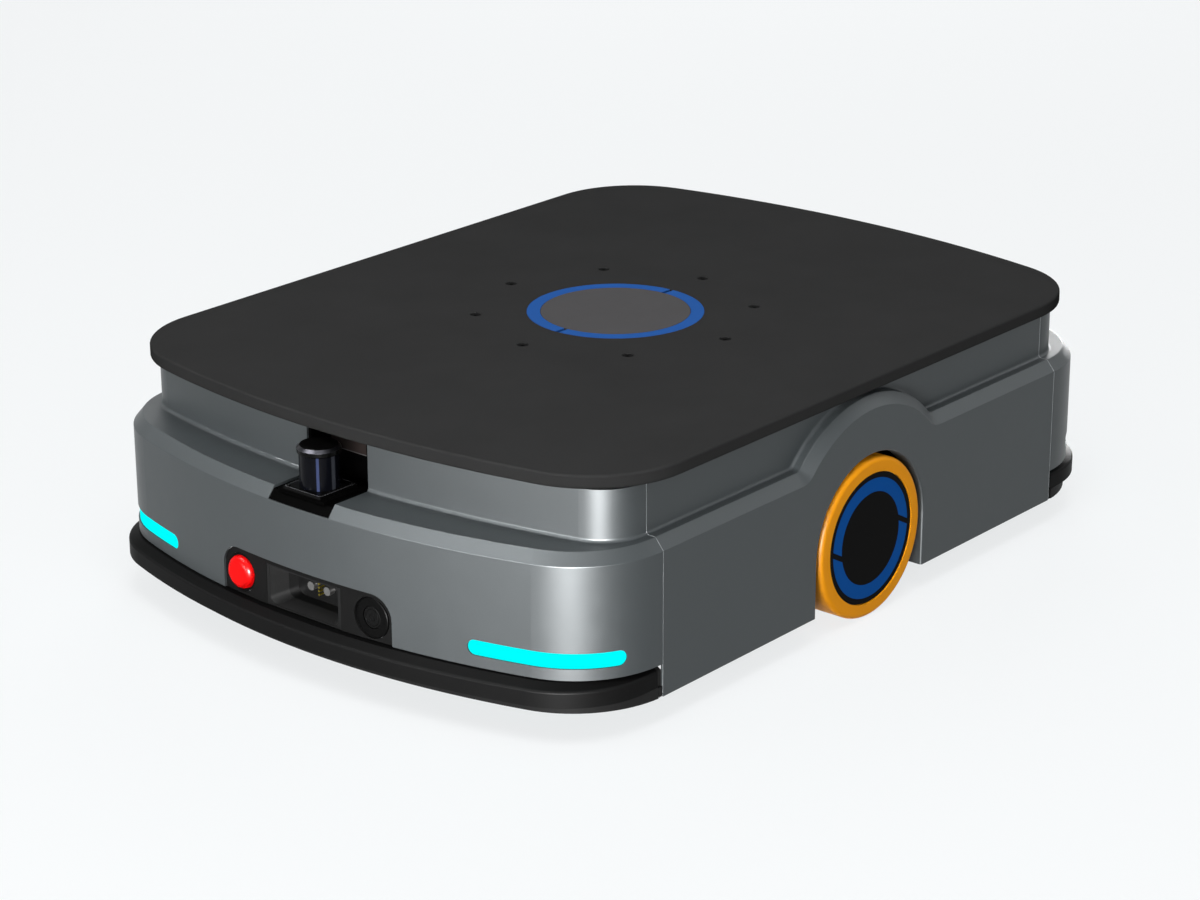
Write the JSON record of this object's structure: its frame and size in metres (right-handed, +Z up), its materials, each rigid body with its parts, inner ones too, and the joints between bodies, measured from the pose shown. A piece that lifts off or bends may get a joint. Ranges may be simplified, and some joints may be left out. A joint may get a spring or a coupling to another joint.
{
  "type": "autonomous mobile robot",
  "caption": "Low autonomous mobile robot with a lifting, turning load platform, sprung drive wheels, swivel casters, sprung bumpers, a laser scanner and a charging socket.",
  "frame": {"origin": "on the floor under the middle of the robot", "axes": "+X the way it drives, towards the laser scanner; +Y its left side; +Z up"},
  "size_m": [0.977, 0.675, 0.257],
  "materials": {
    "shell_paint": "satin metallic grey",
    "platform_black": "matt black powder coat",
    "cap_grey": "matt dark grey",
    "ring_blue": "satin blue",
    "bumper_black": "satin black",
    "tyre_orange": "cast polyurethane",
    "hub_cap_black": "satin black with blue arcs",
    "panel_black": "dark moulded plastic",
    "stop_red": "glossy red",
    "light_cyan": "emissive diffuser",
    "contact_metal": "plated contacts",
    "scanner_black": "gloss black",
    "scanner_window": "dark infrared window",
    "frame_steel": "black powder coat",
    "bright_steel": "machined",
    "screw_black": "blackened",
    "motor_grey": "cast, satin",
    "caster_tread": "grey-black polyurethane",
    "battery_case": "moulded case",
    "electronics_case": "anodised"
  },
  "bodies": {
    "chassis": {"chassis_frame": "frame_steel", "battery_tub": "frame_steel", "front_cover": "shell_paint", "rear_cover": "shell_paint", "left_cover": "shell_paint", "right_cover": "shell_paint", "top_cover": "frame_steel", "top_cover_screws": "screw_black", "front_panel": "panel_black", "charge_socket": "panel_black", "charge_contacts": "contact_metal", "estop_body": "panel_black", "power_switch_body": "panel_black", "light_strips": "light_cyan", "lidar_bracket": "scanner_black", "lidar_housing": "scanner_black", "lidar_window": "scanner_window", "battery_pack": "battery_case", "control_computer": "electronics_case", "motor_driver": "electronics_case", "lift_motor": "motor_grey", "lift_housing": "frame_steel", "lift_guide_posts": "bright_steel", "caster_plates": "frame_steel", "frame_pins": "bright_steel", "left_spring": "bright_steel", "right_spring": "bright_steel"},
    "front_bumper_body": {"front_bumper": "bumper_black"},
    "rear_bumper_body": {"rear_bumper": "bumper_black"},
    "stop_button": {"estop_button": "stop_red"},
    "power_key": {"power_button": "panel_black"},
    "scanner_rotor": {"lidar_rotor": "scanner_black"},
    "left_arm": {"left_drive_arm": "frame_steel", "left_drive_motor": "motor_grey"},
    "right_arm": {"right_drive_arm": "frame_steel", "right_drive_motor": "motor_grey"},
    "left_drive_wheel": {"left_wheel_hub": "motor_grey", "left_tyre": "tyre_orange", "left_hub_cap": "hub_cap_black"},
    "right_drive_wheel": {"right_wheel_hub": "motor_grey", "right_tyre": "tyre_orange", "right_hub_cap": "hub_cap_black"},
    "nut_gear": {"lift_nut_gear": "bright_steel"},
    "lift_pinion_gear": {"lift_pinion": "bright_steel"},
    "lift_carriage": {"lift_column": "bright_steel", "slew_motor": "motor_grey"},
    "turntable_pinion": {"slew_pinion": "bright_steel"},
    "turntable": {"slew_ring": "bright_steel", "platform_plate": "platform_black", "platform_screws": "screw_black", "centre_disc": "cap_grey", "centre_ring": "ring_blue"},
    "front_left_caster_swivel": {"front_left_caster_fork": "frame_steel"},
    "front_left_caster_roller": {"front_left_caster_wheel": "caster_tread"},
    "front_right_caster_swivel": {"front_right_caster_fork": "frame_steel"},
    "front_right_caster_roller": {"front_right_caster_wheel": "caster_tread"},
    "rear_left_caster_swivel": {"rear_left_caster_fork": "frame_steel"},
    "rear_left_caster_roller": {"rear_left_caster_wheel": "caster_tread"},
    "rear_right_caster_swivel": {"rear_right_caster_fork": "frame_steel"},
    "rear_right_caster_roller": {"rear_right_caster_wheel": "caster_tread"}
  },
  "joints": [
    {"name": "left_suspension", "type": "hinge", "parent": "chassis", "child": "left_arm", "pos_m": [-0.125, 0.279, 0.07], "axis": [0, 1, 0], "range_deg": [-2, 2], "stiffness_Nm_per_rad": 187.5, "springref_deg": 11.46, "deforming": ["left_spring"]},
    {"name": "left_wheel_spin", "type": "hinge", "parent": "left_arm", "child": "left_drive_wheel", "pos_m": [0, 0.3125, 0.085], "axis": [0, 1, 0], "continuous": true},
    {"name": "right_suspension", "type": "hinge", "parent": "chassis", "child": "right_arm", "pos_m": [-0.125, -0.279, 0.07], "axis": [0, 1, 0], "range_deg": [-2, 2], "stiffness_Nm_per_rad": 187.5, "springref_deg": 11.46, "deforming": ["right_spring"]},
    {"name": "right_wheel_spin", "type": "hinge", "parent": "right_arm", "child": "right_drive_wheel", "pos_m": [0, -0.3125, 0.085], "axis": [0, 1, 0], "continuous": true},
    {"name": "front_left_caster_swivel_turn", "type": "hinge", "parent": "chassis", "child": "front_left_caster_swivel", "pos_m": [0.3, 0.23, 0.096], "axis": [0, 0, 1], "continuous": true},
    {"name": "front_left_caster_wheel_roll", "type": "hinge", "parent": "front_left_caster_swivel", "child": "front_left_caster_roller", "pos_m": [0.272, 0.23, 0.0375], "axis": [0, 1, 0], "continuous": true},
    {"name": "front_right_caster_swivel_turn", "type": "hinge", "parent": "chassis", "child": "front_right_caster_swivel", "pos_m": [0.3, -0.23, 0.096], "axis": [0, 0, 1], "continuous": true},
    {"name": "front_right_caster_wheel_roll", "type": "hinge", "parent": "front_right_caster_swivel", "child": "front_right_caster_roller", "pos_m": [0.272, -0.23, 0.0375], "axis": [0, 1, 0], "continuous": true},
    {"name": "rear_left_caster_swivel_turn", "type": "hinge", "parent": "chassis", "child": "rear_left_caster_swivel", "pos_m": [-0.3, 0.23, 0.096], "axis": [0, 0, 1], "continuous": true},
    {"name": "rear_left_caster_wheel_roll", "type": "hinge", "parent": "rear_left_caster_swivel", "child": "rear_left_caster_roller", "pos_m": [-0.328, 0.23, 0.0375], "axis": [0, 1, 0], "continuous": true},
    {"name": "rear_right_caster_swivel_turn", "type": "hinge", "parent": "chassis", "child": "rear_right_caster_swivel", "pos_m": [-0.3, -0.23, 0.096], "axis": [0, 0, 1], "continuous": true},
    {"name": "rear_right_caster_wheel_roll", "type": "hinge", "parent": "rear_right_caster_swivel", "child": "rear_right_caster_roller", "pos_m": [-0.328, -0.23, 0.0375], "axis": [0, 1, 0], "continuous": true},
    {"name": "front_bumper_press", "type": "slide", "parent": "chassis", "child": "front_bumper_body", "axis": [-1, 0, 0], "range_m": [0, 0.004], "stiffness_N_per_m": 3000, "springref_m": -0.002},
    {"name": "rear_bumper_press", "type": "slide", "parent": "chassis", "child": "rear_bumper_body", "axis": [1, 0, 0], "range_m": [0, 0.004], "stiffness_N_per_m": 3000, "springref_m": -0.002},
    {"name": "stop_button_press", "type": "slide", "parent": "chassis", "child": "stop_button", "axis": [-1, 0, 0], "range_m": [0, 0.005], "stiffness_N_per_m": 1500, "springref_m": -0.002},
    {"name": "power_button_press", "type": "slide", "parent": "chassis", "child": "power_key", "axis": [-1, 0, 0], "range_m": [0, 0.002], "stiffness_N_per_m": 1200, "springref_m": -0.001},
    {"name": "scanner_spin", "type": "hinge", "parent": "chassis", "child": "scanner_rotor", "pos_m": [0.442, 0, 0.2], "axis": [0, 0, 1], "continuous": true},
    {"name": "platform_lift", "type": "slide", "parent": "chassis", "child": "lift_carriage", "axis": [0, 0, 1], "range_m": [0, 0.06]},
    {"name": "nut_gear_spin", "type": "hinge", "parent": "chassis", "child": "nut_gear", "pos_m": [0, 0, 0.12], "axis": [0, 0, 1], "range_deg": [-5, 1085]},
    {"name": "lift_pinion_spin", "type": "hinge", "parent": "chassis", "child": "lift_pinion_gear", "pos_m": [-0.11715, 0, 0.12], "axis": [0, 0, 1], "range_deg": [-3605, 5]},
    {"name": "platform_turn", "type": "hinge", "parent": "lift_carriage", "child": "turntable", "pos_m": [0, 0, 0.237], "axis": [0, 0, 1], "continuous": true},
    {"name": "turntable_pinion_spin", "type": "hinge", "parent": "lift_carriage", "child": "turntable_pinion", "pos_m": [0.19415, 0, 0.237], "axis": [0, 0, 1], "continuous": true}
  ],
  "couplings": [
    {"joint": "nut_gear_spin", "follows": "platform_lift", "rad_per_m": 314.16},
    {"joint": "lift_pinion_spin", "follows": "platform_lift", "rad_per_m": -1047.2},
    {"joint": "turntable_pinion_spin", "follows": "platform_turn", "ratio": -5.0625}
  ]
}
